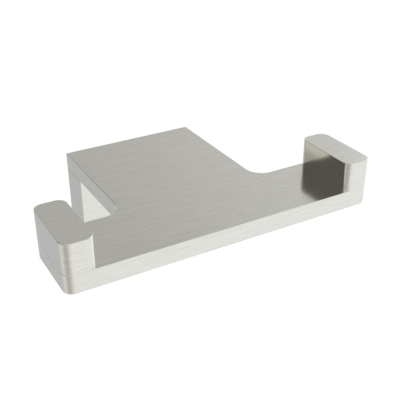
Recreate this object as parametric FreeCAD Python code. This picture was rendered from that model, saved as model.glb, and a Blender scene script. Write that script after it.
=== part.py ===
import FreeCAD, Part
import math
import os

# Double robe hook in brushed metal. A T-shaped top plate lies on a hollow wall housing, and a
# short post stands on each end of its bar. The housing hangs on a bracket that is screwed to
# the wall, and a set screw from below wedges it tight.
# Sizes are in millimetres. X runs along the bar, the wall is the plane Y = 0 and the hook
# stands out towards -Y. The origin is the middle of the square base, on the wall.

# Base, the square that is seen on the wall
base_width = 50.0
base_height = 50.0
housing_thickness = 12.5

# Top plate
bar_length = 107.0
bar_depth = 25.0
projection = 75.0
plate_thickness = 6.2
inside_corner_radius = 6.0

# Posts, with the same rounding as the ends of the bar
post_width = 10.0
post_height = 10.0
end_corner_radius = 3.0

# Edges: the breaks that are seen, and the finer ones where two pieces meet
edge_break = 0.1
seam_break = 0.05

# Housing walls and the corners of its pocket
front_wall = 3.0
side_wall = 3.0
top_wall = 3.8
bottom_wall = 6.0
pocket_corner_radius = 3.0

# Wall bracket: its edges flare away from the wall, from a straight foot
bracket_side_gap = 7.0
bracket_front_gap = 2.5
bracket_top_gap = 1.0
bracket_foot = 2.0
bracket_flare = 3.0
bracket_corner_radius = 2.5
lift_spare = 2.0

# Lug of the housing, which hooks behind the upper flare
lug_lead = 0.8

# Countersunk holes for the two wall screws
wall_hole_radius = 2.25
wall_head_radius = 4.5
wall_hole_edge = 6.0

# Countersunk machine screws, one size for the posts and the plate
screw_radius = 2.0
screw_head_radius = 3.75
screw_head_land = 0.2
screw_head_sink = 0.1
screw_tip_chamfer = 0.4
screw_socket_width = 2.5
screw_socket_depth = 1.6
screw_hole_radius = 2.25
screw_spacing_on_post = 14.0
plate_screw_inset = 8.0
plate_screw_to_lug = 7.0
thread_in_post = 6.0
thread_in_plate = 4.0
thread_end_gap = 0.4
thread_gap = 0.05

# Set screw
set_screw_radius = 2.0
set_screw_recess = 0.5
set_screw_point = 1.6
set_screw_socket_width = 2.0
set_screw_socket_depth = 2.5
set_screw_tip_gap = 0.05

# Heights and depths that follow from the sizes above
base_bottom = -base_height / 2
plate_top = base_height / 2
plate_bottom = plate_top - plate_thickness
pocket_width = base_width - 2 * side_wall
pocket_depth = housing_thickness - front_wall
pocket_top = plate_bottom - top_wall
pocket_bottom = base_bottom + bottom_wall
bracket_width = pocket_width - 2 * bracket_side_gap
bracket_thickness = pocket_depth - bracket_front_gap
bracket_top = pocket_top - bracket_top_gap
bracket_bottom = pocket_bottom + bracket_flare + lift_spare
bracket_middle = (bracket_top + bracket_bottom) / 2

# Places of the screws
post_middle_x = bar_length / 2 - post_width / 2
bar_middle_y = bar_depth / 2 - projection
plate_screw_x = pocket_width / 2 - plate_screw_inset
lug_width = 2 * (plate_screw_x - plate_screw_to_lug)
plate_screw_y = -pocket_depth / 2
wall_hole_x = bracket_width / 2 - wall_hole_edge

UP = FreeCAD.Vector(0, 0, 1)
OUT = FreeCAD.Vector(0, -1, 0)
SIDES = {"left": -1, "right": 1}
ENDS = {"front": -1, "back": 1}


def box(x_from, x_to, y_from, y_to, z_from, z_to):
    corner = FreeCAD.Vector(x_from, y_from, z_from)
    return Part.makeBox(x_to - x_from, y_to - y_from, z_to - z_from, corner)


def flat_face(points):
    corners = [FreeCAD.Vector(*point) for point in points]
    return Part.Face(Part.makePolygon(corners + corners[:1]))


def turned(profile):
    # A solid of revolution about Z, from (radius, height) points
    half_section = flat_face([(radius, 0, height) for radius, height in profile])
    return half_section.revolve(FreeCAD.Vector(0, 0, 0), UP, 360)


def hexagon_hole(across_flats, depth):
    # The key socket, from the plane Z = 0 upwards
    corner_radius = across_flats / math.sqrt(3)
    corners = []
    for step in range(6):
        angle = math.radians(60 * step)
        corners.append((corner_radius * math.cos(angle), corner_radius * math.sin(angle), 0))
    return flat_face(corners).extrude(UP * depth)


def edges_along(solid, direction, corners):
    # Straight edges in a direction whose line passes within a hair of one of the corners
    found = []
    for edge in solid.Edges:
        start = edge.Vertexes[0].Point
        span = edge.Vertexes[-1].Point - start
        if span.cross(direction).Length > 1e-6:
            continue
        for corner in corners:
            away = FreeCAD.Vector(*corner) - start
            if away.cross(direction).Length < 1e-6:
                found.append(edge)
    return found


def edges_at_height(solid, height):
    found = []
    for edge in solid.Edges:
        extent = edge.BoundBox
        if abs(extent.ZMin - height) < 1e-6 and abs(extent.ZMax - height) < 1e-6:
            found.append(edge)
    return found


def rounded_upright(solid, corners, radius):
    corners_in_plan = [(x, y, 0) for x, y in corners]
    return solid.makeFillet(radius, edges_along(solid, UP, corners_in_plan))


# Holes and screws, all driven upwards

def countersunk_hole(x, y, mouth_z, length):
    # Clearance hole with a 90 degree seat, which holds the head just below the surface
    mouth_radius = screw_head_radius + screw_head_land + screw_head_sink + thread_gap
    seat_depth = mouth_radius - screw_hole_radius
    mouth = FreeCAD.Vector(x, y, mouth_z)
    seat = Part.makeCone(mouth_radius, screw_hole_radius, seat_depth, mouth, UP)
    return seat.fuse(Part.makeCylinder(screw_hole_radius, length, mouth, UP))


def tapped_hole(x, y, mouth_z, thread_length):
    mouth = FreeCAD.Vector(x, y, mouth_z)
    depth = thread_length + thread_end_gap
    return Part.makeCylinder(screw_radius + thread_gap, depth, mouth, UP)


def countersunk_screw(x, y, mouth_z, length):
    cone_end = screw_head_land + screw_head_radius - screw_radius
    screw = turned([
        (0, 0),
        (screw_head_radius, 0),
        (screw_head_radius, screw_head_land),
        (screw_radius, cone_end),
        (screw_radius, length - screw_tip_chamfer),
        (screw_radius - screw_tip_chamfer, length),
        (0, length),
    ])
    screw = screw.cut(hexagon_hole(screw_socket_width, screw_socket_depth))
    screw.translate(FreeCAD.Vector(x, y, mouth_z + screw_head_sink))
    return screw


def post_screw_place(side, end):
    return side * post_middle_x, bar_middle_y + end * screw_spacing_on_post / 2


def post_screw(side, end):
    x, y = post_screw_place(side, end)
    length = plate_thickness - screw_head_sink + thread_in_post
    return countersunk_screw(x, y, plate_bottom, length)


def plate_screw(side):
    length = top_wall - screw_head_sink + thread_in_plate
    return countersunk_screw(side * plate_screw_x, plate_screw_y, pocket_top, length)


# Top plate: a T cut from flat bar, with rounded inside corners and bar ends

def top_plate():
    bar_end = bar_length / 2
    stem_side = base_width / 2
    bar_front = -projection
    bar_back = bar_depth - projection
    outline = [
        (-stem_side, 0),
        (-stem_side, bar_back),
        (-bar_end, bar_back),
        (-bar_end, bar_front),
        (bar_end, bar_front),
        (bar_end, bar_back),
        (stem_side, bar_back),
        (stem_side, 0),
    ]
    plate = flat_face([(x, y, plate_bottom) for x, y in outline]).extrude(UP * plate_thickness)
    inside_corners = [outline[1], outline[6]]
    end_corners = outline[2:6]
    plate = rounded_upright(plate, inside_corners, inside_corner_radius)
    plate = rounded_upright(plate, end_corners, end_corner_radius)
    rims = edges_at_height(plate, plate_top) + edges_at_height(plate, plate_bottom)
    plate = plate.makeChamfer(edge_break, rims)
    for side in SIDES.values():
        for end in ENDS.values():
            x, y = post_screw_place(side, end)
            plate = plate.cut(countersunk_hole(x, y, plate_bottom, plate_thickness))
        x = side * plate_screw_x
        plate = plate.cut(tapped_hole(x, plate_screw_y, plate_bottom, thread_in_plate))
    return plate


# Post: a small block on the end of the bar, flush with it on three sides

def post(side):
    x_from = side * post_middle_x - post_width / 2
    x_to = x_from + post_width
    y_from = -projection
    y_to = y_from + bar_depth
    post_top = plate_top + post_height
    block = box(x_from, x_to, y_from, y_to, plate_top, post_top)
    corners = [(x, y) for x in (x_from, x_to) for y in (y_from, y_to)]
    block = rounded_upright(block, corners, end_corner_radius)
    block = block.makeChamfer(edge_break, edges_at_height(block, post_top))
    block = block.makeChamfer(seam_break, edges_at_height(block, plate_top))
    for end in ENDS.values():
        x, y = post_screw_place(side, end)
        block = block.cut(tapped_hole(x, y, plate_top, thread_in_post))
    return block


# Wall bracket: a dovetail plate, narrow at the wall and taller in front

def flare_height(distance_from_wall):
    # How far the flared edge has risen over the foot at this distance from the wall
    run = bracket_thickness - bracket_foot
    return bracket_flare * (distance_from_wall - bracket_foot) / run


def bracket_corners(bracket):
    # The edges of its two side faces that run through its thickness, up the flares too
    found = []
    for face in bracket.Faces:
        if face.BoundBox.XLength < 1e-6:
            found += [edge for edge in face.Edges if edge.BoundBox.YLength > 1e-6]
    return found


def wall_bracket():
    foot_top = bracket_top - bracket_flare
    foot_bottom = bracket_bottom + bracket_flare
    section = [
        (0, foot_bottom),
        (-bracket_foot, foot_bottom),
        (-bracket_thickness, bracket_bottom),
        (-bracket_thickness, bracket_top),
        (-bracket_foot, foot_top),
        (0, foot_top),
    ]
    left = -bracket_width / 2
    profile = flat_face([(left, y, z) for y, z in section])
    bracket = profile.extrude(FreeCAD.Vector(bracket_width, 0, 0))
    bracket = bracket.makeFillet(bracket_corner_radius, bracket_corners(bracket))
    sink_depth = wall_head_radius - wall_hole_radius
    for side in SIDES.values():
        at_wall = FreeCAD.Vector(side * wall_hole_x, 0, bracket_middle)
        seat_end = at_wall + OUT * (bracket_thickness - sink_depth)
        hole = Part.makeCylinder(wall_hole_radius, bracket_thickness, at_wall, OUT)
        seat = Part.makeCone(wall_hole_radius, wall_head_radius, sink_depth, seat_end, OUT)
        bracket = bracket.cut(hole.fuse(seat))
    return bracket


# Wall housing: a square block, hollow from the wall side, that hooks over the bracket

def hooking_lug():
    # It hangs from the pocket's top and rests on the bracket's upper flare
    foot_top = bracket_top - bracket_flare
    lug_front = bracket_thickness - lug_lead
    root = pocket_top + top_wall / 2
    section = [
        (-bracket_foot, root),
        (-bracket_foot, foot_top),
        (-lug_front, foot_top + flare_height(lug_front)),
        (-lug_front, root),
    ]
    profile = flat_face([(-lug_width / 2, y, z) for y, z in section])
    return profile.extrude(FreeCAD.Vector(lug_width, 0, 0))


def set_screw_depth():
    # The point bears on the middle of the lower flare
    return (bracket_foot + bracket_thickness) / 2


def pocket():
    half = pocket_width / 2
    hollow = box(-half, half, -pocket_depth, 0, pocket_bottom, pocket_top)
    corners = [(x, 0, z) for x in (-half, half) for z in (pocket_bottom, pocket_top)]
    return hollow.makeFillet(pocket_corner_radius, edges_along(hollow, OUT, corners))


def wall_housing():
    half = base_width / 2
    front = -housing_thickness
    block = box(-half, half, front, 0, base_bottom, plate_bottom)
    front_corners = [(-half, front), (half, front)]
    uprights = edges_along(block, UP, [(x, y, 0) for x, y in front_corners])
    block = block.makeChamfer(edge_break, uprights + edges_at_height(block, base_bottom))
    block = block.makeChamfer(seam_break, edges_at_height(block, plate_bottom))
    block = block.cut(pocket()).fuse(hooking_lug())
    for side in SIDES.values():
        x = side * plate_screw_x
        block = block.cut(countersunk_hole(x, plate_screw_y, pocket_top, top_wall))
    below = FreeCAD.Vector(0, -set_screw_depth(), base_bottom)
    thread = Part.makeCylinder(set_screw_radius + thread_gap, bottom_wall, below, UP)
    return block.cut(thread).removeSplitter()


# Set screw: headless, with a key socket below and a point above

def set_screw():
    # The outer edge of the blunted point meets the sloping flare first
    tip_radius = set_screw_radius - set_screw_point
    rise_at_tip = flare_height(set_screw_depth() + tip_radius)
    flare_above = bracket_bottom + bracket_flare - rise_at_tip
    start = base_bottom + set_screw_recess
    length = flare_above - set_screw_tip_gap - start
    chamfer = screw_tip_chamfer
    screw = turned([
        (0, 0),
        (set_screw_radius - chamfer, 0),
        (set_screw_radius, chamfer),
        (set_screw_radius, length - set_screw_point),
        (tip_radius, length),
        (0, length),
    ])
    screw = screw.cut(hexagon_hole(set_screw_socket_width, set_screw_socket_depth))
    screw.translate(FreeCAD.Vector(0, -set_screw_depth(), start))
    return screw


# Every piece by its node's name

pieces = {
    "top_plate": top_plate(),
    "wall_housing": wall_housing(),
    "wall_bracket": wall_bracket(),
    "set_screw": set_screw(),
}
for side_name, side in SIDES.items():
    pieces[f"post_{side_name}"] = post(side)
    pieces[f"plate_screw_{side_name}"] = plate_screw(side)
    for end_name, end in ENDS.items():
        pieces[f"post_screw_{side_name}_{end_name}"] = post_screw(side, end)

os.makedirs("parts", exist_ok=True)
for name, shape in pieces.items():
    shape.exportStep(f"parts/{name}.step")
    print(name, len(shape.Solids), "solid,", round(shape.Volume, 2), "mm3", shape.isValid())
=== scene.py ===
import math

import bpy
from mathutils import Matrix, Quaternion, Vector


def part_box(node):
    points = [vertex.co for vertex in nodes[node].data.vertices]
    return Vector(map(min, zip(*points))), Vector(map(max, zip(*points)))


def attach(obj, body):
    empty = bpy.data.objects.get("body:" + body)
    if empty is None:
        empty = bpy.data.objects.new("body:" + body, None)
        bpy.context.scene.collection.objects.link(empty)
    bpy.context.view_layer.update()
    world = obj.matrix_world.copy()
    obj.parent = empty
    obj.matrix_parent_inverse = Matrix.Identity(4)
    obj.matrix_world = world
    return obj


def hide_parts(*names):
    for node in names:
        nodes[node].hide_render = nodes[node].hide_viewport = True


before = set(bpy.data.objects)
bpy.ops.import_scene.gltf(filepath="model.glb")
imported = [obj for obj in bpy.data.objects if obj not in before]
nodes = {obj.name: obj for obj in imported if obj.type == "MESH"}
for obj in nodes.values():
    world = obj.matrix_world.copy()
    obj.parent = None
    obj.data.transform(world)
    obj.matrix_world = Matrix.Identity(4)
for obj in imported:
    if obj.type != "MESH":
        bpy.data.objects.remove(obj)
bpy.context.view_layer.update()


# Top plate: a T cut from flat bar, plated in nickel and brushed along the bar on its broad faces
# and round its edge. It carries the posts, and lies on the wall housing.

nickel_dark = (0.612, 0.602, 0.557)
nickel_pale = (0.908, 0.898, 0.833)
streaks_per_metre = 1300
streak_ends_per_metre = 85
scratches_per_metre = 5000
scratch_ends_per_metre = 450
scratch_share = 0.47
scratch_depth = 0.00002
scratch_bump = 0.06
edge_fineness = 1.6
flat_above = 0.7
brushed_roughness = (0.13, 0.19)
gloss_stretch = 0.6
fine_detail_share = 0.55
plate_streaks_from = 0.3


def add_node(tree, kind, inputs, **settings):
    # Each input is a value, or the output of a node that feeds it
    made = tree.nodes.new("ShaderNode" + kind)
    for setting, value in settings.items():
        setattr(made, setting, value)
    for socket, value in inputs.items():
        if isinstance(value, bpy.types.NodeSocket):
            tree.links.new(value, made.inputs[socket])
        else:
            made.inputs[socket].default_value = value
    return made


def maths(tree, operation, *values):
    return add_node(tree, "Math", dict(enumerate(values)), operation=operation).outputs[0]


def vector_maths(tree, operation, *values):
    inputs = dict(enumerate(values))
    return add_node(tree, "VectorMath", inputs, operation=operation).outputs["Vector"]


def mix(tree, kind, factor, start, end):
    inputs = {"Factor": factor, "A": start, "B": end}
    return add_node(tree, "Mix", inputs, data_type=kind).outputs["Result"]


def object_place(tree):
    return add_node(tree, "TexCoord", {}).outputs["Object"]


def noise(tree, place, detail=3.0):
    inputs = {
        "Vector": place,
        "Scale": 1.0,
        "Detail": detail,
        "Roughness": fine_detail_share,
    }
    return add_node(tree, "TexNoise", inputs).outputs["Fac"]


def bumps(tree, height, strength, depth):
    inputs = {"Strength": strength, "Distance": depth, "Height": height}
    return add_node(tree, "Bump", inputs).outputs["Normal"]


def colours(tree, pattern, dark, pale):
    return mix(tree, "RGBA", pattern, (*dark, 1), (*pale, 1))


def roughness(tree, pattern, limits):
    least, most = limits
    return maths(tree, "MULTIPLY_ADD", pattern, most - least, least)


def metal(tree, colour, rough, normal, **brushing):
    return add_node(tree, "BsdfPrincipled", {
        "Base Color": colour,
        "Metallic": 1.0,
        "Roughness": rough,
        "Normal": normal,
        **brushing,
    }).outputs[0]


def stretched(tree, place, lies_flat, along, across):
    # Streaks are level and finer on upright faces, and run along the bar on faces that lie flat
    upright = (along * edge_fineness, along * edge_fineness, across * edge_fineness)
    scale = mix(tree, "VECTOR", lies_flat, upright, (along, across, along))
    return vector_maths(tree, "MULTIPLY", place, scale)


def brushed_nickel(tree, streaks_from):
    place = vector_maths(tree, "ADD", object_place(tree), (streaks_from,) * 3)
    normal = add_node(tree, "NewGeometry", {}).outputs["Normal"]
    tilt = add_node(tree, "SeparateXYZ", {0: normal}).outputs["Z"]
    lies_flat = maths(tree, "GREATER_THAN", maths(tree, "ABSOLUTE", tilt), flat_above)
    streaks = noise(tree, stretched(
        tree, place, lies_flat, streak_ends_per_metre, streaks_per_metre))
    scratches = noise(tree, stretched(
        tree, place, lies_flat, scratch_ends_per_metre, scratches_per_metre))
    both = mix(tree, "FLOAT", scratch_share, streaks, scratches)
    return metal(
        tree,
        colours(tree, both, nickel_dark, nickel_pale),
        roughness(tree, scratches, brushed_roughness),
        bumps(tree, scratches, scratch_bump, scratch_depth),
        Anisotropic=gloss_stretch,
        Tangent=mix(tree, "VECTOR", lies_flat, (0, 0, 1), (0, 1, 0)),
    )


def new_material(name):
    material = bpy.data.materials.new(name)
    material.use_nodes = True
    material.node_tree.nodes.clear()
    return material, material.node_tree


def show(tree, shader):
    add_node(tree, "OutputMaterial", {"Surface": shader})


def finish_node(name, material):
    mesh = nodes[name].data
    mesh.materials.clear()
    mesh.materials.append(material)


plate_finish, tree = new_material("brushed_nickel_plate")
show(tree, brushed_nickel(tree, plate_streaks_from))
finish_node("top_plate", plate_finish)


# Posts: two blocks of the same bar and finish, flush with the ends of the plate. Each is held
# from below by two screws.

post_streaks_from = {"left": 2.3, "right": 1.1}

for side, streaks_from in post_streaks_from.items():
    post_finish, tree = new_material(f"brushed_nickel_post_{side}")
    show(tree, brushed_nickel(tree, streaks_from))
    finish_node(f"post_{side}", post_finish)


# Post screws: countersunk M4 machine screws of bright stainless steel, with a key socket in a
# turned head. They come up through the bar into the posts.

# The thread's crests are an eighth of the pitch wide, and its roots a quarter
thread_radius = 0.0020
thread_pitch = 0.0007
thread_depth = 0.61 * thread_pitch
thread_root = thread_radius - thread_depth
groove_floor = thread_pitch / 4
groove_mouth = thread_pitch * 7 / 8
clear_of_thread = 0.0002
head_radius = 0.00375
head_land = 0.0002
head_height = head_land + head_radius - thread_radius
tip_chamfer = 0.0004
key_width = 0.0025
key_depth = 0.0016
drill_point_taper = 0.2
turned_sides = 64
thread_sides = 40
weld_distance = 1e-6
smooth_angle = math.radians(35)
steel_dark = (0.50, 0.49, 0.47)
steel_pale = (0.70, 0.69, 0.66)
steel_roughness = (0.16, 0.31)
rings_per_metre = 9000
ring_depth = 0.00002
ring_bump = 0.15


def deselect():
    for item in bpy.context.selected_objects:
        item.select_set(False)


def chosen(item):
    deselect()
    item.select_set(True)
    bpy.context.view_layer.objects.active = item


def edit(item, choose):
    # Into edit mode, with nothing selected but the vertices that are chosen by their place
    chosen(item)
    bpy.ops.object.mode_set(mode="EDIT")
    bpy.ops.mesh.select_mode(type="VERT")
    bpy.ops.mesh.select_all(action="DESELECT")
    bpy.ops.object.mode_set(mode="OBJECT")
    for vertex in item.data.vertices:
        vertex.select = choose(vertex.co)
    bpy.ops.object.mode_set(mode="EDIT")


def done():
    bpy.ops.object.mode_set(mode="OBJECT")


def added(name):
    item = bpy.context.active_object
    item.name = name
    return item


def cut_away(item, tool):
    chosen(item)
    cut = item.modifiers.new("cut", "BOOLEAN")
    cut.operation = "DIFFERENCE"
    cut.solver = "MANIFOLD"
    cut.object = tool
    bpy.ops.object.modifier_apply(modifier=cut.name)
    bpy.data.objects.remove(tool)


def wind(item, rise, turns, steps):
    chosen(item)
    screw = item.modifiers.new("wind", "SCREW")
    screw.screw_offset = rise
    screw.iterations = turns
    screw.steps = steps
    screw.render_steps = steps
    screw.use_merge_vertices = True
    screw.merge_threshold = weld_distance
    bpy.ops.object.modifier_apply(modifier=screw.name)


def turned(profile):
    # A line through (radius, height) points, from the axis back to the axis, spun about it
    deselect()
    bpy.ops.mesh.primitive_plane_add()
    item = added("turned")
    bpy.ops.object.mode_set(mode="EDIT")
    bpy.ops.mesh.select_all(action="SELECT")
    bpy.ops.mesh.merge(type="CENTER")
    bpy.ops.transform.translate(value=(profile[0][0], 0, profile[0][1]))
    for (radius, height), (next_radius, next_height) in zip(profile, profile[1:]):
        move = (next_radius - radius, 0, next_height - height)
        bpy.ops.mesh.extrude_region_move(TRANSFORM_OT_translate={"value": move})
    done()
    wind(item, rise=0, turns=1, steps=turned_sides)
    edit(item, lambda co: True)
    bpy.ops.mesh.normals_make_consistent(inside=False)
    done()
    return item


def cut_thread(item, from_height, to_height):
    # The groove is a coil of its cross-section, which leaves narrow crests between its turns
    deselect()
    bpy.ops.mesh.primitive_plane_add(size=1, rotation=(math.pi / 2, 0, 0))
    coil = added("coil")
    bpy.ops.object.transform_apply(location=True, rotation=True, scale=True)
    depth = thread_radius - thread_root + clear_of_thread
    flank = (groove_mouth - groove_floor) / 2 / (thread_radius - thread_root)
    mouth = groove_floor + 2 * flank * depth
    edit(coil, lambda co: co.x < 0)
    bpy.ops.transform.resize(value=(1, 1, groove_floor / mouth), center_override=(0, 0, 0))
    bpy.ops.mesh.select_all(action="SELECT")
    bpy.ops.transform.resize(value=(depth, 1, mouth), center_override=(0, 0, 0))
    bpy.ops.transform.translate(value=(thread_root + depth / 2, 0, from_height))
    done()
    turns = math.ceil((to_height - from_height) / thread_pitch) + 1
    wind(coil, rise=thread_pitch, turns=turns, steps=thread_sides)
    edit(coil, lambda co: True)
    bpy.ops.mesh.fill_holes(sides=4)
    bpy.ops.mesh.normals_make_consistent(inside=False)
    done()
    cut_away(item, coil)


def cut_key_socket(item, width, depth):
    # A six-sided hole that ends in the blunt cone of its drill
    deselect()
    bpy.ops.mesh.primitive_cylinder_add(
        vertices=6, radius=width / math.sqrt(3), depth=2 * depth, rotation=(0, 0, math.pi / 6))
    key = added("key")
    bpy.ops.object.transform_apply(location=True, rotation=True, scale=True)
    edit(key, lambda co: co.z > 0)
    drill_point = (0, 0, width / 6)
    bpy.ops.mesh.extrude_region_move(TRANSFORM_OT_translate={"value": drill_point})
    taper = (drill_point_taper, drill_point_taper, 1)
    bpy.ops.transform.resize(value=taper, center_override=(0, 0, depth))
    done()
    cut_away(item, key)


def ring_map(item):
    # Turned rings follow the distance from the axis and the height, kept as a map
    rings = item.data.uv_layers.new(name="rings")
    for loop in item.data.loops:
        place = item.data.vertices[loop.vertex_index].co
        rings.data[loop.index].uv = (math.hypot(place.x, place.y), place.z)


def machine_screw(length):
    item = turned([
        (0, 0),
        (head_radius, 0),
        (head_radius, head_land),
        (thread_radius, head_height),
        (thread_radius, length - tip_chamfer),
        (thread_radius - tip_chamfer, length),
        (0, length),
    ])
    item.name = "machine_screw"
    cut_thread(item, head_height + thread_pitch / 2, length)
    cut_key_socket(item, key_width, key_depth)
    ring_map(item)
    return item


def scaled(tree, place, per_metre):
    inputs = {0: place, "Scale": per_metre}
    return add_node(tree, "VectorMath", inputs, operation="SCALE").outputs["Vector"]


screw_finish, tree = new_material("turned_stainless_screws")
rings = add_node(tree, "UVMap", {}, uv_map="rings").outputs["UV"]
grooves = noise(tree, scaled(tree, rings, rings_per_metre), detail=2.0)
show(tree, metal(
    tree,
    colours(tree, grooves, steel_dark, steel_pale),
    roughness(tree, grooves, steel_roughness),
    bumps(tree, grooves, ring_bump, ring_depth),
))


def seat_screw(screw, node):
    low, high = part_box(node)
    seat = Vector(((low.x + high.x) / 2, (low.y + high.y) / 2, low.z))
    piece = screw.copy()
    piece.data = screw.data.copy()
    piece.name = f"threaded_{node}"
    bpy.context.scene.collection.objects.link(piece)
    for vertex in piece.data.vertices:
        vertex.co += seat
    piece.data.materials.clear()
    piece.data.materials.append(screw_finish)
    chosen(piece)
    bpy.ops.object.shade_smooth_by_angle(angle=smooth_angle)
    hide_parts(node)
    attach(piece, "root")


def length_of(node):
    low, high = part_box(node)
    return high.z - low.z


screw = machine_screw(length_of("post_screw_left_front"))
for side in ("left", "right"):
    for end in ("front", "back"):
        seat_screw(screw, f"post_screw_{side}_{end}")
bpy.data.objects.remove(screw)


# Wall housing: a square block cast in zinc alloy, hollow from the wall side, with a lug that
# hooks on the bracket. It is brushed and plated like the plate, and the pocket keeps its skin.

front_wall = 0.0030
side_wall = 0.0030
top_wall = 0.0038
bottom_wall = 0.0060
skin_edge = 0.00005
skin_dark = (0.50, 0.49, 0.46)
skin_pale = (0.64, 0.63, 0.59)
skin_roughness = (0.32, 0.52)
patches_per_metre = 240
grains_per_metre = 5200
grain_depth = 0.00006
grain_bump = 0.5
housing_streaks_from = 1.9


def inside_box(tree, place, low, high):
    offset = vector_maths(tree, "SUBTRACT", place, (low + high) / 2)
    offset = vector_maths(tree, "ABSOLUTE", offset)
    past = vector_maths(tree, "SUBTRACT", offset, (high - low) / 2)
    past = add_node(tree, "SeparateXYZ", {0: past}).outputs
    furthest = maths(tree, "MAXIMUM", past["X"], past["Y"])
    furthest = maths(tree, "MAXIMUM", furthest, past["Z"])
    return maths(tree, "LESS_THAN", furthest, 0.0)


def cast_skin(tree):
    place = object_place(tree)
    grain = noise(tree, scaled(tree, place, grains_per_metre), detail=2.0)
    patches = noise(tree, scaled(tree, place, patches_per_metre))
    return metal(
        tree,
        colours(tree, patches, skin_dark, skin_pale),
        roughness(tree, patches, skin_roughness),
        bumps(tree, grain, grain_bump, grain_depth),
    )


# The skin reaches a hair past the pocket's faces, but not to the rim that lies on the wall
housing_low, housing_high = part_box("wall_housing")
edge = Vector((skin_edge, skin_edge, skin_edge))
skin_low = housing_low + Vector((side_wall, front_wall, bottom_wall)) - edge
skin_high = housing_high - Vector((side_wall, 2 * skin_edge, top_wall)) + edge

housing_finish, tree = new_material("brushed_nickel_housing")
show(tree, add_node(tree, "MixShader", {
    0: inside_box(tree, object_place(tree), skin_low, skin_high),
    1: brushed_nickel(tree, housing_streaks_from),
    2: cast_skin(tree),
}).outputs[0])
finish_node("wall_housing", housing_finish)


# Plate screws: the same screws, shorter, from the top of the housing's pocket into the plate.
# They hold the housing and the plate together.

screw = machine_screw(length_of("plate_screw_left"))
for side in ("left", "right"):
    seat_screw(screw, f"plate_screw_{side}")
bpy.data.objects.remove(screw)


# Wall bracket: a cast zinc plate with flared upper and lower edges and two countersunk holes.
# It is barrel plated in bright zinc, which leaves a bluish, slightly mottled skin.

zinc_dark = (0.58, 0.61, 0.65)
zinc_pale = (0.80, 0.81, 0.81)
zinc_roughness = (0.2, 0.45)
spangles_per_metre = 420
pits_per_metre = 3500
pit_depth = 0.00004
pit_bump = 0.35

bracket_finish, tree = new_material("bright_zinc_bracket")
place = object_place(tree)
spangle = noise(tree, scaled(tree, place, spangles_per_metre))
pits = noise(tree, scaled(tree, place, pits_per_metre), detail=2.0)
show(tree, metal(
    tree,
    colours(tree, spangle, zinc_dark, zinc_pale),
    roughness(tree, spangle, zinc_roughness),
    bumps(tree, pits, pit_bump, pit_depth),
))
finish_node("wall_bracket", bracket_finish)


# Set screw: a headless M4 screw of the same steel with a key socket below and a cone point
# above. It comes up through the housing's floor and wedges it on the bracket.

point_height = 0.0016
point_radius = thread_radius - point_height
set_key_width = 0.0020
set_key_depth = 0.0025

set_length = length_of("set_screw")
screw = turned([
    (0, 0),
    (thread_radius - tip_chamfer, 0),
    (thread_radius, tip_chamfer),
    (thread_radius, set_length - point_height),
    (point_radius, set_length),
    (0, set_length),
])
cut_thread(screw, -thread_pitch, set_length)
cut_key_socket(screw, set_key_width, set_key_depth)
ring_map(screw)
seat_screw(screw, "set_screw")
bpy.data.objects.remove(screw)


# Floor: plain pale paper well below the hook, lifted to white where the camera sees it. The
# metal doesn't mirror it, so its tones come from the studio alone.

floor_height = -0.30
floor_size = 12.0
paper_colour = (0.9, 0.9, 0.9, 1)
paper_lift = 0.44

deselect()
bpy.ops.mesh.primitive_plane_add(size=floor_size, location=(0, 0, floor_height))
floor = added("floor")
floor.visible_glossy = False
paper, tree = new_material("floor_paper")
seen = add_node(tree, "LightPath", {}).outputs["Is Camera Ray"]
lift = maths(tree, "MULTIPLY", seen, paper_lift)
show(tree, add_node(tree, "AddShader", {
    0: add_node(tree, "BsdfDiffuse", {"Color": paper_colour}).outputs[0],
    1: add_node(tree, "Emission", {"Strength": lift}).outputs[0],
}).outputs[0])
floor.data.materials.append(paper)


# Studio: white to the camera. The soft light on the metal is pale in front and on the right,
# grey behind, and leaves one dark corner high up on the left.

# Heights are those of a ray's direction, from -1 straight down, over 0 level, to 1 straight up
low_to_middle = (-0.54, -0.44)
middle_to_high = (0.16, 0.32)
high_to_upper = (0.35, 0.95)
upper_to_ceiling = (0.85, 1.00)
ceiling = (0.42, 0.42, 0.42, 1)
white = (1, 1, 1, 1)

world = bpy.data.worlds.new("studio")
bpy.context.scene.world = world
world.use_nodes = True
tree = world.node_tree
tree.nodes.clear()
direction = add_node(tree, "TexCoord", {}).outputs["Generated"]
ray = add_node(tree, "SeparateXYZ", {0: direction}).outputs
bearing = maths(tree, "ARCTAN2", ray["X"], ray["Y"])
turn = maths(tree, "MULTIPLY_ADD", bearing, 1 / math.tau, 0.5)


def wall_light(levels):
    # Each has its bearing in degrees, with 0 the wall and 90 the right, its level and its warmth
    ramp = add_node(tree, "ValToRGB", {0: turn})
    ramp.color_ramp.interpolation = "EASE"
    stops = ramp.color_ramp.elements
    while len(stops) > 1:
        stops.remove(stops[0])
    stops[0].position = 0
    for degrees, level, warmth in levels:
        position = degrees / 360 + 0.5
        stop = stops[0] if position == 0 else stops.new(position)
        stop.color = (level * (1 + warmth), level, level * (1 - warmth), 1)
    return ramp.outputs["Color"]


def change_over(heights, below, above):
    inputs = {"Value": ray["Z"], "From Min": heights[0], "From Max": heights[1]}
    rise = add_node(tree, "MapRange", inputs, interpolation_type="SMOOTHSTEP").outputs[0]
    return mix(tree, "RGBA", rise, below, above)


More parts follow.
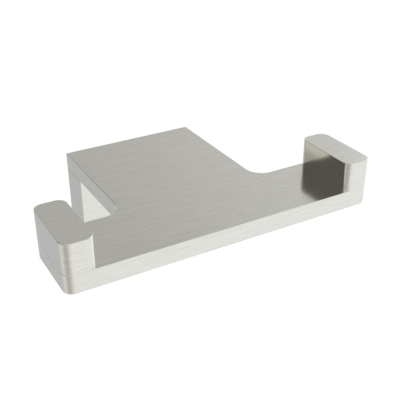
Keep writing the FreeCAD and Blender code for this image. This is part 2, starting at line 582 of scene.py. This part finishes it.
# From the left, past the wall, to the right the two lower bands are alike
left_to_right = [
    (-80, 0.82, 0.00),
    (-60, 0.71, 0.00),
    (-42, 0.66, 0.01),
    (-20, 0.56, -0.02),
    (-12, 0.60, -0.02),
    (12, 0.74, 0.02),
    (45, 0.90, 0.02),
    (95, 1.00, -0.01),
]
low = wall_light([
    (-180, 0.93, 0.01),
    (-157, 0.73, 0.02),
    (-135, 0.55, 0.03),
    (-115, 0.59, 0.02),
    *left_to_right,
    (150, 1.00, -0.02),
    (180, 0.93, 0.01),
])
middle = wall_light([
    (-180, 0.95, 0.01),
    (-157, 0.61, 0.02),
    (-135, 0.46, 0.03),
    (-115, 0.53, 0.02),
    *left_to_right,
    (150, 1.02, -0.02),
    (180, 0.95, 0.01),
])
high = wall_light([
    (-180, 1.00, 0.00),
    (-120, 0.80, 0.00),
    (-95, 0.076, 0.07),
    (-38, 0.076, 0.07),
    (0, 0.44, 0.02),
    (17, 0.535, 0.01),
    (42, 0.68, 0.00),
    (52, 1.25, -0.02),
    (66, 1.72, -0.04),
    (85, 1.95, -0.04),
    (110, 1.45, -0.02),
    (150, 1.05, 0.00),
    (180, 1.00, 0.00),
])
upper = wall_light([
    (-180, 0.80, 0.00),
    (-120, 0.80, 0.00),
    (-95, 0.42, 0.00),
    (115, 0.42, 0.00),
    (145, 0.80, 0.00),
    (180, 0.80, 0.00),
])
room = change_over(low_to_middle, low, middle)
room = change_over(middle_to_high, room, high)
room = change_over(high_to_upper, room, upper)
room = change_over(upper_to_ceiling, room, ceiling)
seen = add_node(tree, "LightPath", {}).outputs["Is Camera Ray"]
light = add_node(tree, "Background", {"Color": mix(tree, "RGBA", seen, room, white)})
add_node(tree, "OutputWorld", {"Surface": light.outputs[0]})


# Camera: fitted to the edges of the hook in the photograph. It stands in front, to the left
# and above, and looks at the front half of the plate.

camera_place = Vector((-0.099137, -0.227521, 0.134262))
camera_target = Vector((-0.000231, -0.055411, 0.025))
camera_roll = math.radians(-0.09)
focal_length_mm = 63.21
sensor_width_mm = 36.0
nearest_seen = 0.01

camera_data = bpy.data.cameras.new("camera")
camera_data.lens = focal_length_mm
camera_data.sensor_width = sensor_width_mm
camera_data.clip_start = nearest_seen
camera = bpy.data.objects.new("camera", camera_data)
camera.location = camera_place
aim = (camera_target - camera_place).to_track_quat("-Z", "Y")
camera.rotation_mode = "QUATERNION"
camera.rotation_quaternion = aim @ Quaternion((0, 0, 1), camera_roll)
bpy.context.scene.collection.objects.link(camera)
bpy.context.scene.camera = camera
bpy.context.scene.view_settings.view_transform = "Standard"
